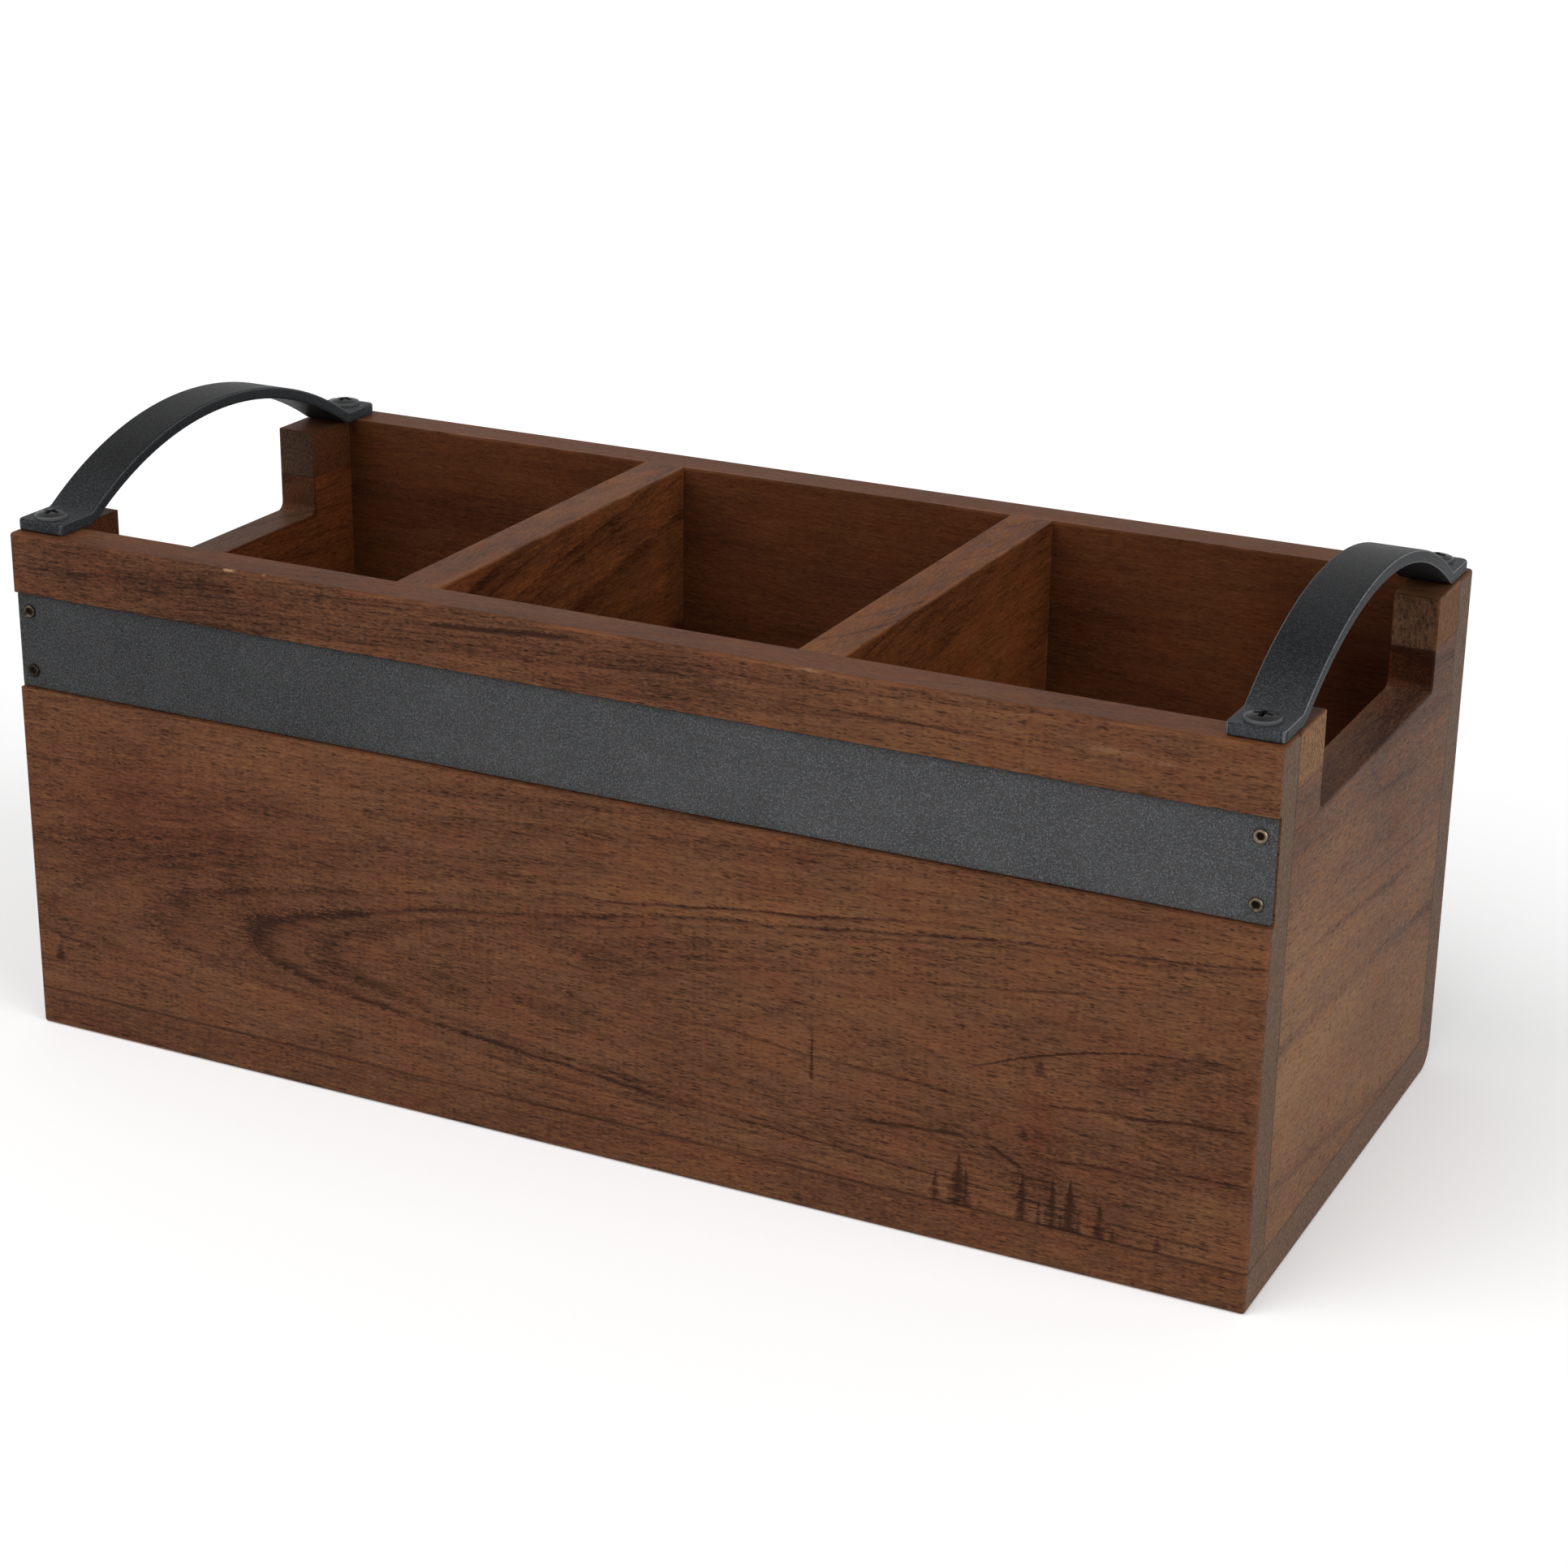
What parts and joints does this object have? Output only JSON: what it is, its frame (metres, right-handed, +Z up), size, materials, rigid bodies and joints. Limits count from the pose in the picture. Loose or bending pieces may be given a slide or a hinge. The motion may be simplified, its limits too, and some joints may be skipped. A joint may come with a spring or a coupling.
{
  "type": "divided tray",
  "caption": "Rectangular wooden caddy with open compartments, a metal band let into the front, a finger notch in each end and a bent flat-bar carrying handle over each notch.",
  "frame": {"origin": "centre of the underside, on the surface that the tray stands on", "axes": "+X along the length towards the right end, -Y towards the front with the metal band, +Z up"},
  "size_m": [0.2922, 0.1296, 0.1359],
  "materials": {
    "bottom_wood": "walnut-stained hardwood under thin satin lacquer",
    "front_wood": "walnut-stained plain-sawn hardwood under thin satin lacquer",
    "back_wood": "walnut-stained plain-sawn hardwood under thin satin lacquer",
    "end_wood": "walnut-stained hardwood under thin satin lacquer",
    "block_wood": "end grain of stained hardwood under thin satin lacquer",
    "divider_wood": "walnut-stained hardwood under thin satin lacquer",
    "dowel_wood": "plain beech",
    "band_steel": "charcoal powder coat, fine sparkle",
    "handle_steel": "near-black powder coat, fine sparkle",
    "black_screw": "black oxide, satin",
    "nail_steel": "bright nail with a warm tint",
    "zinc_screw": "zinc plate"
  },
  "bodies": {
    "root": {"bottom_board": "bottom_wood", "front_panel": "front_wood", "back_panel": "back_wood", "left_end_panel": "end_wood", "right_end_panel": "end_wood", "left_front_post_block": "block_wood", "left_back_post_block": "block_wood", "right_front_post_block": "block_wood", "right_back_post_block": "block_wood", "left_divider": "divider_wood", "right_divider": "divider_wood", "front_band": "band_steel", "band_nails": "nail_steel", "left_handle": "handle_steel", "right_handle": "handle_steel", "handle_screws": "black_screw", "corner_dowels": "dowel_wood", "divider_dowels": "dowel_wood", "bottom_screws": "zinc_screw"}
  },
  "joints": []
}
